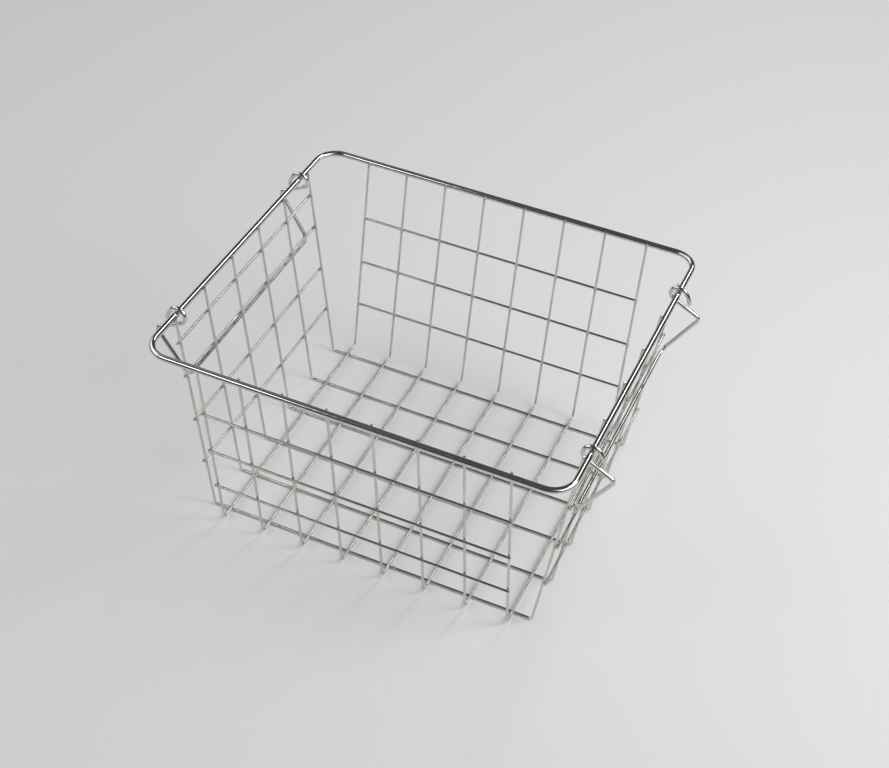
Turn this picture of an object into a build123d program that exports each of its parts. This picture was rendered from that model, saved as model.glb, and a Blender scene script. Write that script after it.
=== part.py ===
from build123d import *
import os
from math import asin, atan2, cos, hypot, pi, radians, sin, tan

# A stainless steel wire basket with two drop handles. Every wire is a solid of its own:
# one heavy rim, two sets of wires bent into a U, the rails across the walls and the handles.
# Millimetres, +Z up. The long side lies along X and the short side along Y.
# The origin is on the ground, under the middle of the basket.

# ---------------------------------------------------------------- driving dimensions
RIM_LENGTH = 398.5          # along X, between centre lines
RIM_WIDTH = 353.0           # along Y, between centre lines
RIM_HEIGHT = 223.5          # centre line above the ground
RIM_CORNER_RADIUS = 21.5    # centre line

RIM_WIRE = 6.0              # wire diameters
MESH_WIRE = 2.5
HANDLE_WIRE = 4.0

FLOOR_LENGTH = 335.0        # between the bends of a long wire
FLOOR_WIDTH = 286.0         # between the bends of a cross wire
FLOOR_BEND_RADIUS = 4.0     # centre line
LEG_END_ABOVE_RIM = 1.5     # cut ends of the legs above the rim's centre line
WELD_SINK = 0.2             # depth that welded wires sink into each other
END_ROUND = 0.4             # rounding of cut wire ends

LONG_WIRE_COUNT = 6
LONG_WIRE_PITCH = 51.2
CROSS_WIRE_COUNT = 8
CROSS_WIRE_PITCH = 42.5

RAIL_HEIGHTS = (56.0, 108.0, 160.0)     # on all four walls
HIGH_RAIL_HEIGHT = 198.0                # on the two short walls only
RAIL_OVERHANG = 2.5                     # past the axis of the outermost leg
BACK_RAIL_OVERHANG = 1.2                # the back rails are cut almost flush with the legs

# Handle, seen along the rim: "out" is away from the basket and "up" is above the rim,
# both from the rim's centre line. "along" runs along the rim from the middle of the handle.
EYE_RADIUS = 8.0            # centre line of the eye that goes round the rim
EYE_PLAY = 0.3              # gap between the eye and the top of the rim
EYE_END_ANGLE = 40.0        # where the eye's arc runs out into the tail
EYE_CORNERS = 4             # corners of the polygon that the eye's arc is rounded from
EASE = 0.95                 # share of an arc's full radius that leaves a short run beside it
EYE_DRIFT = 1.9             # how far the tail lies to the side of the arm
TAIL_RADIUS = 26.0
TAIL_TURN = 26.0
TAIL_TIP = 2.0              # straight end of the tail
ARM_ALONG = 119.5
KNEE_OUT = 23.8
KNEE_UP = -24.2
KNEE_RADIUS = 4.5
GRIP_OUT = -6.8
GRIP_UP = -73.0
GRIP_ALONG = 118.0
GRIP_CORNER_RADIUS = 8.0

# ---------------------------------------------------------------- derived dimensions
LONG_WIRE_FLOOR = MESH_WIRE / 2
CROSS_WIRE_FLOOR = LONG_WIRE_FLOOR + MESH_WIRE - WELD_SINK
LONG_WIRE_PLACES = [(i - (LONG_WIRE_COUNT - 1) / 2) * LONG_WIRE_PITCH for i in range(LONG_WIRE_COUNT)]
CROSS_WIRE_PLACES = [(i - (CROSS_WIRE_COUNT - 1) / 2) * CROSS_WIRE_PITCH for i in range(CROSS_WIRE_COUNT)]
EYE_DROP = EYE_RADIUS - (RIM_WIRE + HANDLE_WIRE) / 2 - EYE_PLAY


def bent_wire(path, diameter):
    """A round wire along the path, with its two cut ends slightly rounded."""
    section = Plane(origin=path @ 0, z_dir=path % 0) * Circle(diameter / 2)
    wire = sweep(section, path=path)
    cut_edges = wire.faces().filter_by(GeomType.PLANE).edges()
    return fillet(cut_edges, END_ROUND)


class Wall:
    """The plane of one wall's legs, as a line in (out, up) from the floor bend past the rim."""

    def __init__(self, half_floor, floor_height, half_rim):
        rim_out = half_rim - half_floor
        rim_up = RIM_HEIGHT - floor_height
        gap = (RIM_WIRE + MESH_WIRE) / 2 - WELD_SINK
        self.lean = atan2(rim_up, rim_out) + asin(gap / hypot(rim_out, rim_up))
        self.half_floor = half_floor
        self.floor_height = floor_height

    def leg(self, height):
        """Distance from the middle of the basket to the legs' axis at this height."""
        return self.half_floor + (height - self.floor_height) / tan(self.lean)

    def rail(self, height):
        """Centre of a rail that is welded to the outside of the legs at this height."""
        spacing = MESH_WIRE - WELD_SINK
        return self.leg(height) + spacing * sin(self.lean), height - spacing * cos(self.lean)


SHORT_WALL = Wall(FLOOR_LENGTH / 2, LONG_WIRE_FLOOR, RIM_LENGTH / 2)
LONG_WALL = Wall(FLOOR_WIDTH / 2, CROSS_WIRE_FLOOR, RIM_WIDTH / 2)


# ---------------------------------------------------------------- rim
def rim():
    outline = RectangleRounded(RIM_LENGTH, RIM_WIDTH, RIM_CORNER_RADIUS).wire().moved(Pos(0, 0, RIM_HEIGHT))
    section = Plane(origin=outline @ 0, z_dir=outline % 0) * Circle(RIM_WIRE / 2)
    return sweep(section, path=outline)


# ---------------------------------------------------------------- wires bent into a U
def u_wire(wall, place):
    """A wire down one wall, across the floor and up the opposite wall, where place(out, up) puts it."""
    top = RIM_HEIGHT + LEG_END_ABOVE_RIM
    corners = [
        place(-wall.leg(top), top),
        place(-wall.half_floor, wall.floor_height),
        place(wall.half_floor, wall.floor_height),
        place(wall.leg(top), top),
    ]
    return bent_wire(FilletPolyline(*corners, radius=FLOOR_BEND_RADIUS), MESH_WIRE)


def long_wire(y):
    return u_wire(SHORT_WALL, lambda out, up: (out, y, up))


def cross_wire(x):
    return u_wire(LONG_WALL, lambda out, up: (x, out, up))


# ---------------------------------------------------------------- rails
def short_wall_rail(side, height):
    """A rail along Y; side is -1 on the left wall and 1 on the right wall."""
    out, up = SHORT_WALL.rail(height)
    reach = LONG_WIRE_PLACES[-1] + RAIL_OVERHANG
    return bent_wire(Line((side * out, -reach, up), (side * out, reach, up)), MESH_WIRE)


def long_wall_rail(side, height, overhang):
    """A rail along X; side is -1 on the front wall and 1 on the back wall."""
    out, up = LONG_WALL.rail(height)
    reach = CROSS_WIRE_PLACES[-1] + overhang
    return bent_wire(Line((-reach, side * out, up), (reach, side * out, up)), MESH_WIRE)


# ---------------------------------------------------------------- handles
def handle_end():
    """Corners (out, along, up) and bend radii of one end, from the tail's cut end to the grip."""
    arm = atan2(-EYE_DROP - KNEE_UP, -KNEE_OUT) + asin(EYE_RADIUS / hypot(KNEE_OUT, KNEE_UP + EYE_DROP))
    eye_start = arm + pi / 2
    eye_end = radians(EYE_END_ANGLE)
    step = (eye_start - eye_end) / EYE_CORNERS
    corner_radius = EYE_RADIUS / cos(step / 2)
    eye = []
    for number in range(EYE_CORNERS):
        angle = eye_start - (number + 0.5) * step
        along = ARM_ALONG - EYE_DRIFT * (number + 0.5) / EYE_CORNERS
        eye.append((corner_radius * cos(angle), along, corner_radius * sin(angle) - EYE_DROP))

    tail_run = TAIL_RADIUS * tan(radians(TAIL_TURN) / 2)
    leaving = eye_end - pi / 2
    falling = leaving - radians(TAIL_TURN)
    tail_along = ARM_ALONG - EYE_DRIFT
    tail_out = EYE_RADIUS * cos(eye_end) + tail_run * cos(leaving)
    tail_up = EYE_RADIUS * sin(eye_end) - EYE_DROP + tail_run * sin(leaving)
    tail_corner = (tail_out, tail_along, tail_up)
    last_run = tail_run + TAIL_TIP
    tail_end = (tail_out + last_run * cos(falling), tail_along, tail_up + last_run * sin(falling))

    knee = (KNEE_OUT, ARM_ALONG, KNEE_UP)
    grip = (GRIP_OUT, GRIP_ALONG, GRIP_UP)
    corners = [tail_end, tail_corner, *reversed(eye), knee, grip]
    radii = [TAIL_RADIUS, *[EYE_RADIUS] * EYE_CORNERS]
    radii = [radius * EASE for radius in radii] + [KNEE_RADIUS, GRIP_CORNER_RADIUS]
    return corners, radii


def handle():
    """The right handle: one wire with an eye round the rim at each end, hanging down."""
    corners, radii = handle_end()
    half = [(RIM_LENGTH / 2 + out, along, RIM_HEIGHT + up) for out, along, up in corners]
    other_half = [(x, -y, z) for x, y, z in reversed(half)]
    path = FilletPolyline(*half, *other_half, radius=radii + radii[::-1])
    return bent_wire(path, HANDLE_WIRE)


# ---------------------------------------------------------------- assembly
def build():
    nodes = {"rim": rim()}
    for number, y in enumerate(LONG_WIRE_PLACES, start=1):
        nodes[f"long_wire_{number}"] = long_wire(y)
    for number, x in enumerate(CROSS_WIRE_PLACES, start=1):
        nodes[f"cross_wire_{number}"] = cross_wire(x)
    for number, height in enumerate(RAIL_HEIGHTS, start=1):
        nodes[f"front_rail_{number}"] = long_wall_rail(-1, height, RAIL_OVERHANG)
        nodes[f"back_rail_{number}"] = long_wall_rail(1, height, BACK_RAIL_OVERHANG)
    for number, height in enumerate((*RAIL_HEIGHTS, HIGH_RAIL_HEIGHT), start=1):
        nodes[f"left_rail_{number}"] = short_wall_rail(-1, height)
        nodes[f"right_rail_{number}"] = short_wall_rail(1, height)
    nodes["right_handle"] = handle()
    nodes["left_handle"] = mirror(nodes["right_handle"], about=Plane.YZ)
    return nodes


os.makedirs("parts", exist_ok=True)
for node, shape in build().items():
    export_step(shape, f"parts/{node}.step")
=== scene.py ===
import math
import random

import bmesh
import bpy
from mathutils import Matrix, Vector


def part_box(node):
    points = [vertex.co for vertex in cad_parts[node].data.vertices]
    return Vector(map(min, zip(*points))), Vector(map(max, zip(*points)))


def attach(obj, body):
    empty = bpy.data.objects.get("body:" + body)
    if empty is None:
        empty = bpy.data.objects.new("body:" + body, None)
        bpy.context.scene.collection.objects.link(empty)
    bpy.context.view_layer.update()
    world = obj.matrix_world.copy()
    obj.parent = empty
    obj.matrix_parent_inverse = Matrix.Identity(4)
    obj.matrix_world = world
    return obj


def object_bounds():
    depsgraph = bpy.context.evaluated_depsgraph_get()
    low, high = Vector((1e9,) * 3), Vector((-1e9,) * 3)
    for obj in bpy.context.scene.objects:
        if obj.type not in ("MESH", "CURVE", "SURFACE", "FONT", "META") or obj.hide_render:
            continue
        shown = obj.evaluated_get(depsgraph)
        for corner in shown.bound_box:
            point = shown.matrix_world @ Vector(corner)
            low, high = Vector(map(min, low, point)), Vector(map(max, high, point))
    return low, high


# Looks of the stainless steel wire basket: the CAD wires with drawn-steel materials,
# a small weld nugget wherever two wires cross, and a pale studio floor.
# Metres, in the CAD frame.

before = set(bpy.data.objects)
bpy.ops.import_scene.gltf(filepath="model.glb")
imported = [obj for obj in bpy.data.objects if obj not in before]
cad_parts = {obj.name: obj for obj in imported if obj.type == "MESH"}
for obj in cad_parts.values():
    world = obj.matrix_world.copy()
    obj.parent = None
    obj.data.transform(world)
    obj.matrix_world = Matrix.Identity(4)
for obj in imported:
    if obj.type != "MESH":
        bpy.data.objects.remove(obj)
cad_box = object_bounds()

# ---------------------------------------------------------------- driving values
WELD_SPREAD = 0.00118       # mean radius of a weld nugget between two mesh wires
RIM_WELD_SPREAD = 0.00135   # and between a leg and the rim
WELD_UNEVEN = 0.14          # share by which nuggets differ from each other and all round
WELD_WAIST = 0.16           # share by which a nugget is hollowed between the two wires
WELD_BURY = 0.00012         # depth that a nugget reaches into each wire
WELD_SIDES = 18
WELD_LEVELS = 5

CAMERA_AZIMUTH = 21.70      # degrees, 0 looks along +Y
CAMERA_ELEVATION = 42.09
CAMERA_ROLL = 3.35
CAMERA_DISTANCE = 1.572
CAMERA_TARGET = Vector((0.00915, 0.01761, 0.11222))
CAMERA_LENS = 65.68         # on a sensor 36 mm wide

FLOOR_SIZE = 60.0
PALE_FLOOR_MIDDLE = (-1.5, 1.1, -0.75, 2.0)        # left, right, near and far edges of its pale middle; reflections find the floor beyond them painted near black, a painted shade
PAINTED_SHADE_FADE = 0.01       # width of the fade from the pale middle into that painted shade
LIT_POINT = Vector((0, 0, 0.1))
LEFT_PANEL = 1.4            # brightness of the room's panels, and of the room itself
RIGHT_PANEL = 1.97
ROOM_LIGHT = 0.07
BACKDROP = 0.62

MESH_COLOURS = ((0.66, 0.65, 0.62), (0.57, 0.56, 0.535))           # bright and dull
POLISHED_COLOURS = ((0.70, 0.69, 0.67), (0.60, 0.59, 0.575))
WELD_STAIN = (0.38, 0.34, 0.28, 1)
MESH_ROUGHNESS = 0.08
POLISHED_ROUGHNESS = 0.045
STAIN_REACH = 0.0042        # how far from a weld its stain goes

WALLS = ("front", "back", "left", "right")


# ---------------------------------------------------------------- places read from the CAD frame
def centre(node):
    low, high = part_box(node)
    return (low + high) / 2


def numbered(kind):
    """The CAD nodes kind_1, kind_2 and so on, in that order."""
    names = [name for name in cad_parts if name.startswith(kind + "_")]
    return sorted(names, key=lambda name: int(name.rsplit("_", 1)[1]))


LONG_WIRES = numbered("long_wire")
CROSS_WIRES = numbered("cross_wire")
LONG_LOW, LONG_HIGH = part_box(LONG_WIRES[0])
CROSS_LOW, CROSS_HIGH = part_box(CROSS_WIRES[0])
RIM_LOW, RIM_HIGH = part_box("rim")
MESH_RADIUS = (LONG_HIGH.y - LONG_LOW.y) / 2
RIM_RADIUS = (RIM_HIGH.z - RIM_LOW.z) / 2
WELD_SINK = 2 * MESH_RADIUS - (CROSS_LOW.z - LONG_LOW.z)


class Wall:
    """One wall: its rails, the direction its legs lean in and the places of the legs along it."""

    def __init__(self, name):
        self.rails = numbered(f"{name}_rail")
        lowest, highest = centre(self.rails[0]), centre(self.rails[-1])
        self.up = (highest - lowest).normalized()
        if name in ("front", "back"):
            self.along = Vector((1, 0, 0))
            self.places = [centre(wire).x for wire in CROSS_WIRES]
            self.rim = Vector((0, math.copysign(RIM_HIGH.y - RIM_RADIUS, lowest.y), centre("rim").z))
        else:
            self.along = Vector((0, 1, 0))
            self.places = [centre(wire).y for wire in LONG_WIRES]
            self.rim = Vector((math.copysign(RIM_HIGH.x - RIM_RADIUS, lowest.x), 0, centre("rim").z))
        self.inward = self.up.cross(self.along)
        if self.inward.dot(lowest) > 0:
            self.inward.negate()


# ---------------------------------------------------------------- weld nuggets
def weld_nugget(mesh, place, across, along, lower_radius, upper_radius, spread):
    """A nugget between two wires that cross at a right angle.

    across points from the lower wire to the upper one, along is the lower wire's direction.
    The nugget fills the groove round the point where they touch, with hollow sides.
    """
    beside = across.cross(along)
    phases = [random.uniform(0, 2 * math.pi) for _ in range(2)]
    size = spread * (1 + WELD_UNEVEN * random.uniform(-1, 1))

    def surface(radius, offset):
        """How far a wire's surface has curved away from where the wires touch."""
        offset = min(abs(offset), 0.97 * radius)
        return radius - math.sqrt(radius**2 - offset**2) - WELD_SINK / 2 + WELD_BURY

    rings = []
    for level in range(WELD_LEVELS):
        height = level / (WELD_LEVELS - 1)
        ring = []
        for side in range(WELD_SIDES):
            turn = 2 * math.pi * side / WELD_SIDES
            wave = math.sin(2 * turn + phases[0]) + 0.5 * math.sin(3 * turn + phases[1])
            reach = size * (1 + WELD_UNEVEN / 2 * wave)
            u, v = reach * math.cos(turn), reach * math.sin(turn)
            low = -surface(lower_radius, v)
            high = surface(upper_radius, u)
            hollow = 1 - WELD_WAIST * math.sin(math.pi * height)
            rise = low + (high - low) * height
            point = place + along * u * hollow + beside * v * hollow + across * rise
            ring.append(mesh.verts.new(point))
        rings.append(ring)
    for lower, upper in zip(rings, rings[1:]):
        for side in range(WELD_SIDES):
            following = (side + 1) % WELD_SIDES
            mesh.faces.new((lower[side], lower[following], upper[following], upper[side]))
    for ring, end in ((rings[0], -1), (rings[-1], 1)):
        pole = mesh.verts.new(place + across * end * (WELD_SINK / 2 + WELD_BURY))
        for side in range(WELD_SIDES):
            mesh.faces.new((ring[side], ring[(side + 1) % WELD_SIDES], pole)[::end])


def weld_piece(name, nuggets):
    """One object from the nuggets, given as the arguments of weld_nugget."""
    mesh = bmesh.new()
    for nugget in nuggets:
        weld_nugget(mesh, *nugget)
    bmesh.ops.recalc_face_normals(mesh, faces=mesh.faces)
    data = bpy.data.meshes.new(name)
    mesh.to_mesh(data)
    mesh.free()
    data.polygons.foreach_set("use_smooth", [True] * len(data.polygons))
    piece = bpy.data.objects.new(name, data)
    bpy.context.scene.collection.objects.link(piece)
    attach(piece, "basket")
    return piece


def floor_welds():
    touch = LONG_LOW.z + 2 * MESH_RADIUS - WELD_SINK / 2
    up = Vector((0, 0, 1))
    along = Vector((1, 0, 0))
    nuggets = []
    for long_wire in LONG_WIRES:
        for cross_wire in CROSS_WIRES:
            place = Vector((centre(cross_wire).x, centre(long_wire).y, touch))
            nuggets.append((place, up, along, MESH_RADIUS, MESH_RADIUS, WELD_SPREAD))
    return weld_piece("floor_welds", nuggets)


def wall_welds(name, wall):
    nuggets = []
    for rail in wall.rails:
        for position in wall.places:
            place = centre(rail) + wall.inward * (MESH_RADIUS - WELD_SINK / 2) + wall.along * position
            nuggets.append((place, wall.inward, wall.along, MESH_RADIUS, MESH_RADIUS, WELD_SPREAD))
    return weld_piece(f"{name}_wall_welds", nuggets)


def rim_welds(walls):
    nuggets = []
    for wall in walls.values():
        for position in wall.places:
            place = wall.rim + wall.inward * (RIM_RADIUS - WELD_SINK / 2) + wall.along * position
            nuggets.append((place, wall.inward, wall.along, RIM_RADIUS, MESH_RADIUS, RIM_WELD_SPREAD))
    return weld_piece("rim_welds", nuggets)


# ---------------------------------------------------------------- materials
class Nodes:
    """The node tree of one material or world, with short calls to add and link nodes."""

    def __init__(self, owner):
        owner.use_nodes = True
        self.tree = owner.node_tree
        self.tree.nodes.clear()

    def add(self, kind, inputs=(), **settings):
        """A new node. inputs are pairs of socket name or number, and a value or another node's output."""
        node = self.tree.nodes.new(kind)
        for name, value in settings.items():
            setattr(node, name, value)
        for socket, value in inputs:
            if isinstance(value, bpy.types.NodeSocket):
                self.tree.links.new(value, node.inputs[socket])
            else:
                node.inputs[socket].default_value = value
        return node

    def math(self, operation, *values):
        return self.add("ShaderNodeMath", list(enumerate(values)), operation=operation).outputs[0]

    def noise(self, position, stretch, scale, detail=2.0):
        """Noise from 0 to 1 about 0.5, drawn out along the axes where stretch is small."""
        moved = self.add("ShaderNodeMapping", [("Vector", position), ("Scale", stretch)])
        texture = self.add(
            "ShaderNodeTexNoise",
            [("Vector", moved.outputs[0]), ("Scale", scale), ("Detail", detail)],
        )
        return texture.outputs["Factor" if "Factor" in texture.outputs else 0]

    def remap(self, value, low, high, to_low, to_high):
        node = self.add(
            "ShaderNodeMapRange",
            [
                ("Value", value),
                ("From Min", low),
                ("From Max", high),
                ("To Min", to_low),
                ("To Max", to_high),
            ],
        )
        return node.outputs[0]

    def ramp(self, value, stops):
        """A colour ramp through the stops, which are pairs of position and colour."""
        node = self.add("ShaderNodeValToRGB", [(0, value)])
        elements = node.color_ramp.elements
        while len(elements) < len(stops):
            elements.new(0.5)
        for element, (position, colour) in zip(elements, stops):
            element.position = position
            element.color = (*colour, 1)
        return node.outputs[0]

    def near(self, coordinate, places, reach):
        """1 at the places along a coordinate, falling to 0 at reach from them."""
        nearest = None
        for place in places:
            distance = self.math("ABSOLUTE", self.math("SUBTRACT", coordinate, place))
            nearest = distance if nearest is None else self.math("MINIMUM", nearest, distance)
        return self.remap(nearest, 0.0, reach, 1.0, 0.0)


def wire_steel(name, bright, dull, roughness, stretch, weld_places=()):
    """Drawn stainless wire: lines along the wire, faint smears and dull, slightly brown welds.

    bright and dull are the two ends of the colour variation, and stretch draws the lines out along
    the axes where it is small. weld_places are pairs of an axis and the places of the welds on it.
    """
    material = bpy.data.materials.new(name)
    nodes = Nodes(material)
    position = nodes.add("ShaderNodeTexCoord").outputs["Object"]
    axes = nodes.add("ShaderNodeSeparateXYZ", [(0, position)]).outputs

    lines = nodes.noise(position, stretch, 5200, 3)
    smears = nodes.noise(position, (1, 1, 1), 38, 4)
    grain = nodes.noise(position, (1, 1, 1), 2600, 2)

    smeared = nodes.remap(smears, 0.35, 0.68, 0.0, 1.0)
    colour = nodes.ramp(smeared, [(0.0, bright), (1.0, dull)])
    lined = nodes.remap(lines, 0.3, 0.7, -0.03, 0.03)
    rough = nodes.math("ADD", nodes.math("MULTIPLY_ADD", smeared, 0.05, roughness), lined)

    stain = None
    for axis, places in weld_places:
        near = nodes.near(axes[axis], places, STAIN_REACH)
        stain = near if stain is None else nodes.math("MAXIMUM", stain, near)
    if stain is not None:
        patchy = nodes.math("MULTIPLY", stain, nodes.remap(grain, 0.3, 0.65, 0.25, 0.85))
        mixed = nodes.add(
            "ShaderNodeMix",
            [(0, patchy), (6, colour), (7, WELD_STAIN)],
            data_type="RGBA",
        )
        colour = mixed.outputs[2]
        rough = nodes.math("MULTIPLY_ADD", patchy, 0.22, rough)

    relief = nodes.math("ADD", nodes.math("MULTIPLY", lines, 0.7), nodes.math("MULTIPLY", grain, 0.3))
    bump = nodes.add("ShaderNodeBump", [("Strength", 0.35), ("Distance", 0.00003), ("Height", relief)])
    shader = nodes.add(
        "ShaderNodeBsdfPrincipled",
        [("Base Color", colour), ("Metallic", 1.0), ("Roughness", rough), ("Normal", bump.outputs[0])],
    )
    nodes.add("ShaderNodeOutputMaterial", [("Surface", shader.outputs[0])])
    return material


def weld_steel():
    """The fused metal of the welds: duller and browner than the wire, with a lumpy skin."""
    material = bpy.data.materials.new("weld_steel")
    nodes = Nodes(material)
    position = nodes.add("ShaderNodeTexCoord").outputs["Object"]
    heat = nodes.noise(position, (1, 1, 1), 900, 3)
    lumps = nodes.noise(position, (1, 1, 1), 3000, 2)
    colour = nodes.ramp(
        heat,
        [(0.30, (0.20, 0.17, 0.14)), (0.50, (0.42, 0.38, 0.33)), (0.72, (0.56, 0.54, 0.51))],
    )
    rough = nodes.remap(lumps, 0.3, 0.7, 0.34, 0.56)
    bump = nodes.add("ShaderNodeBump", [("Strength", 0.6), ("Distance", 0.0001), ("Height", lumps)])
    shader = nodes.add(
        "ShaderNodeBsdfPrincipled",
        [("Base Color", colour), ("Metallic", 1.0), ("Roughness", rough), ("Normal", bump.outputs[0])],
    )
    nodes.add("ShaderNodeOutputMaterial", [("Surface", shader.outputs[0])])
    return material


def paint(names, material):
    for name in names:
        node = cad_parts[name]
        node.data.materials.clear()
        node.data.materials.append(material)


def paint_wires(walls):
    """Each way that a wire can run has a material of its own, so that its lines follow the wire."""
    short_heights = [centre(rail).z for rail in walls["left"].rails]
    long_heights = [centre(rail).z for rail in walls["front"].rails]
    along_x = walls["front"].places
    along_y = walls["left"].places
    rim_height = centre("rim").z

    def mesh_steel(name, stretch, weld_places):
        return wire_steel(name, *MESH_COLOURS, MESH_ROUGHNESS, stretch, weld_places)

    def polished_steel(name, stretch):
        return wire_steel(name, *POLISHED_COLOURS, POLISHED_ROUGHNESS, stretch)

    long_welds = [(0, along_x), (2, [*short_heights, rim_height])]
    cross_welds = [(1, along_y), (2, [*long_heights, rim_height])]
    long_steel = mesh_steel("mesh_steel_long", (0.03, 1, 0.03), long_welds)
    cross_steel = mesh_steel("mesh_steel_cross", (1, 0.03, 0.03), cross_welds)
    long_rail_steel = mesh_steel("mesh_steel_rail_x", (0.03, 1, 1), [(0, along_x)])
    short_rail_steel = mesh_steel("mesh_steel_rail_y", (1, 0.03, 1), [(1, along_y)])
    rim_steel = polished_steel("rim_steel_wire", (0.03, 0.03, 1))
    handle_steel = polished_steel("handle_steel_wire", (1, 0.03, 1))

    paint(LONG_WIRES, long_steel)
    paint(CROSS_WIRES, cross_steel)
    paint([*walls["front"].rails, *walls["back"].rails], long_rail_steel)
    paint([*walls["left"].rails, *walls["right"].rails], short_rail_steel)
    paint(["rim"], rim_steel)
    paint(["left_handle", "right_handle"], handle_steel)


# ---------------------------------------------------------------- studio
def floor():
    """A wide pale floor. The wires reflect only its middle as pale: further out its colour is painted
    near black for them, a painted shade standing in for the unlit room, while the camera still sees it
    pale.
    """
    half = FLOOR_SIZE / 2
    level = cad_box[0].z
    corners = [(-half, -half, level), (half, -half, level), (half, half, level), (-half, half, level)]
    data = bpy.data.meshes.new("floor")
    data.from_pydata(corners, [], [(0, 1, 2, 3)])
    plane = bpy.data.objects.new("floor", data)
    bpy.context.scene.collection.objects.link(plane)

    material = bpy.data.materials.new("floor_paper")
    nodes = Nodes(material)
    position = nodes.add("ShaderNodeTexCoord").outputs["Object"]
    x, y, _ = nodes.add("ShaderNodeSeparateXYZ", [(0, position)]).outputs
    left, right, near, far = PALE_FLOOR_MIDDLE
    seen_by_camera = nodes.add("ShaderNodeLightPath").outputs["Is Camera Ray"]
    past_left = nodes.remap(x, left, left + PAINTED_SHADE_FADE, 0, 1)
    before_right = nodes.remap(x, right - PAINTED_SHADE_FADE, right, 1, 0)
    past_near = nodes.remap(y, near, near + PAINTED_SHADE_FADE, 0, 1)
    before_far = nodes.remap(y, far - PAINTED_SHADE_FADE, far, 1, 0)
    across = nodes.math("MINIMUM", past_left, before_right)
    along = nodes.math("MINIMUM", past_near, before_far)
    pale = nodes.math("MAXIMUM", seen_by_camera, nodes.math("MINIMUM", across, along))
    # painted shade: outside its pale middle the floor's colour falls to near black for every ray but the
    # camera's
    colour = nodes.ramp(pale, [(0.0, (0.08, 0.08, 0.08)), (1.0, (0.80, 0.80, 0.80))])
    fibres = nodes.noise(position, (1, 1, 1), 700, 3)
    shader = nodes.add(
        "ShaderNodeBsdfPrincipled",
        [("Base Color", colour), ("Roughness", nodes.remap(fibres, 0.3, 0.7, 0.6, 0.75))],
    )
    nodes.add("ShaderNodeOutputMaterial", [("Surface", shader.outputs[0])])
    data.materials.append(material)


def softbox(name, place, width, height, power):
    """A rectangular light that faces the basket, upright in its own plane."""
    light = bpy.data.lights.new(name, "AREA")
    light.shape = "RECTANGLE"
    light.size = width
    light.size_y = height
    light.energy = power
    lamp = bpy.data.objects.new(name, light)
    lamp.location = place
    lamp.rotation_mode = "QUATERNION"
    lamp.rotation_quaternion = (LIT_POINT - Vector(place)).to_track_quat("-Z", "Y")
    bpy.context.scene.collection.objects.link(lamp)


def studio_room():
    """A dark room with a bright panel to each side, which the wires reflect as light and dark lines.

    The camera itself sees a plain pale background instead.
    """
    world = bpy.data.worlds.new("studio")
    bpy.context.scene.world = world
    nodes = Nodes(world)
    direction = nodes.add("ShaderNodeTexCoord").outputs["Generated"]
    x, y, z = nodes.add("ShaderNodeSeparateXYZ", [(0, direction)]).outputs
    aside = nodes.remap(nodes.math("ABSOLUTE", y), 0.50, 0.62, 1.0, 0.0)
    low_enough = nodes.remap(z, 0.72, 0.84, 1.0, 0.0)
    above = nodes.remap(z, 0.20, 0.32, 0.0, 1.0)
    panel = nodes.math("MULTIPLY", nodes.math("MULTIPLY", aside, low_enough), above)
    panel_light = nodes.remap(x, -0.3, 0.3, LEFT_PANEL, RIGHT_PANEL)
    room = nodes.math("MULTIPLY_ADD", panel, panel_light, ROOM_LIGHT)
    seen_by_camera = nodes.add("ShaderNodeLightPath").outputs["Is Camera Ray"]
    shown = nodes.add("ShaderNodeMix", [(0, seen_by_camera), (2, room), (3, BACKDROP)]).outputs[0]
    background = nodes.add("ShaderNodeBackground", [("Color", (1, 1, 1, 1)), ("Strength", shown)])
    nodes.add("ShaderNodeOutputWorld", [("Surface", background.outputs[0])])


def lights():
    softbox("key_softbox", (0.38, 1.40, 1.56), 0.38, 0.90, 6.7)
    softbox("right_softbox", (0.86, 0.15, 0.93), 0.40, 0.40, 3.85)
    softbox("front_softbox", (-1.08, -1.35, 1.58), 0.75, 0.45, 3.9)


def camera():
    azimuth, elevation = math.radians(CAMERA_AZIMUTH), math.radians(CAMERA_ELEVATION)
    back = Vector((
        math.sin(azimuth) * math.cos(elevation),
        -math.cos(azimuth) * math.cos(elevation),
        math.sin(elevation),
    ))
    level = back.to_track_quat("Z", "Y")
    data = bpy.data.cameras.new("camera")
    data.lens = CAMERA_LENS
    eye = bpy.data.objects.new("camera", data)
    eye.location = CAMERA_TARGET + back * CAMERA_DISTANCE
    eye.rotation_mode = "QUATERNION"
    eye.rotation_quaternion = level @ Matrix.Rotation(math.radians(CAMERA_ROLL), 3, "Z").to_quaternion()
    bpy.context.scene.collection.objects.link(eye)
    bpy.context.scene.camera = eye


# ---------------------------------------------------------------- assembly
def build():
    random.seed(7)
    walls = {name: Wall(name) for name in WALLS}
    welds = [floor_welds()]
    welds += [wall_welds(name, wall) for name, wall in walls.items()]
    welds.append(rim_welds(walls))
    fused = weld_steel()
    for piece in welds:
        piece.data.materials.append(fused)
    paint_wires(walls)
    floor()
    studio_room()
    lights()
    camera()
    bpy.context.scene.view_settings.view_transform = "Standard"


build()
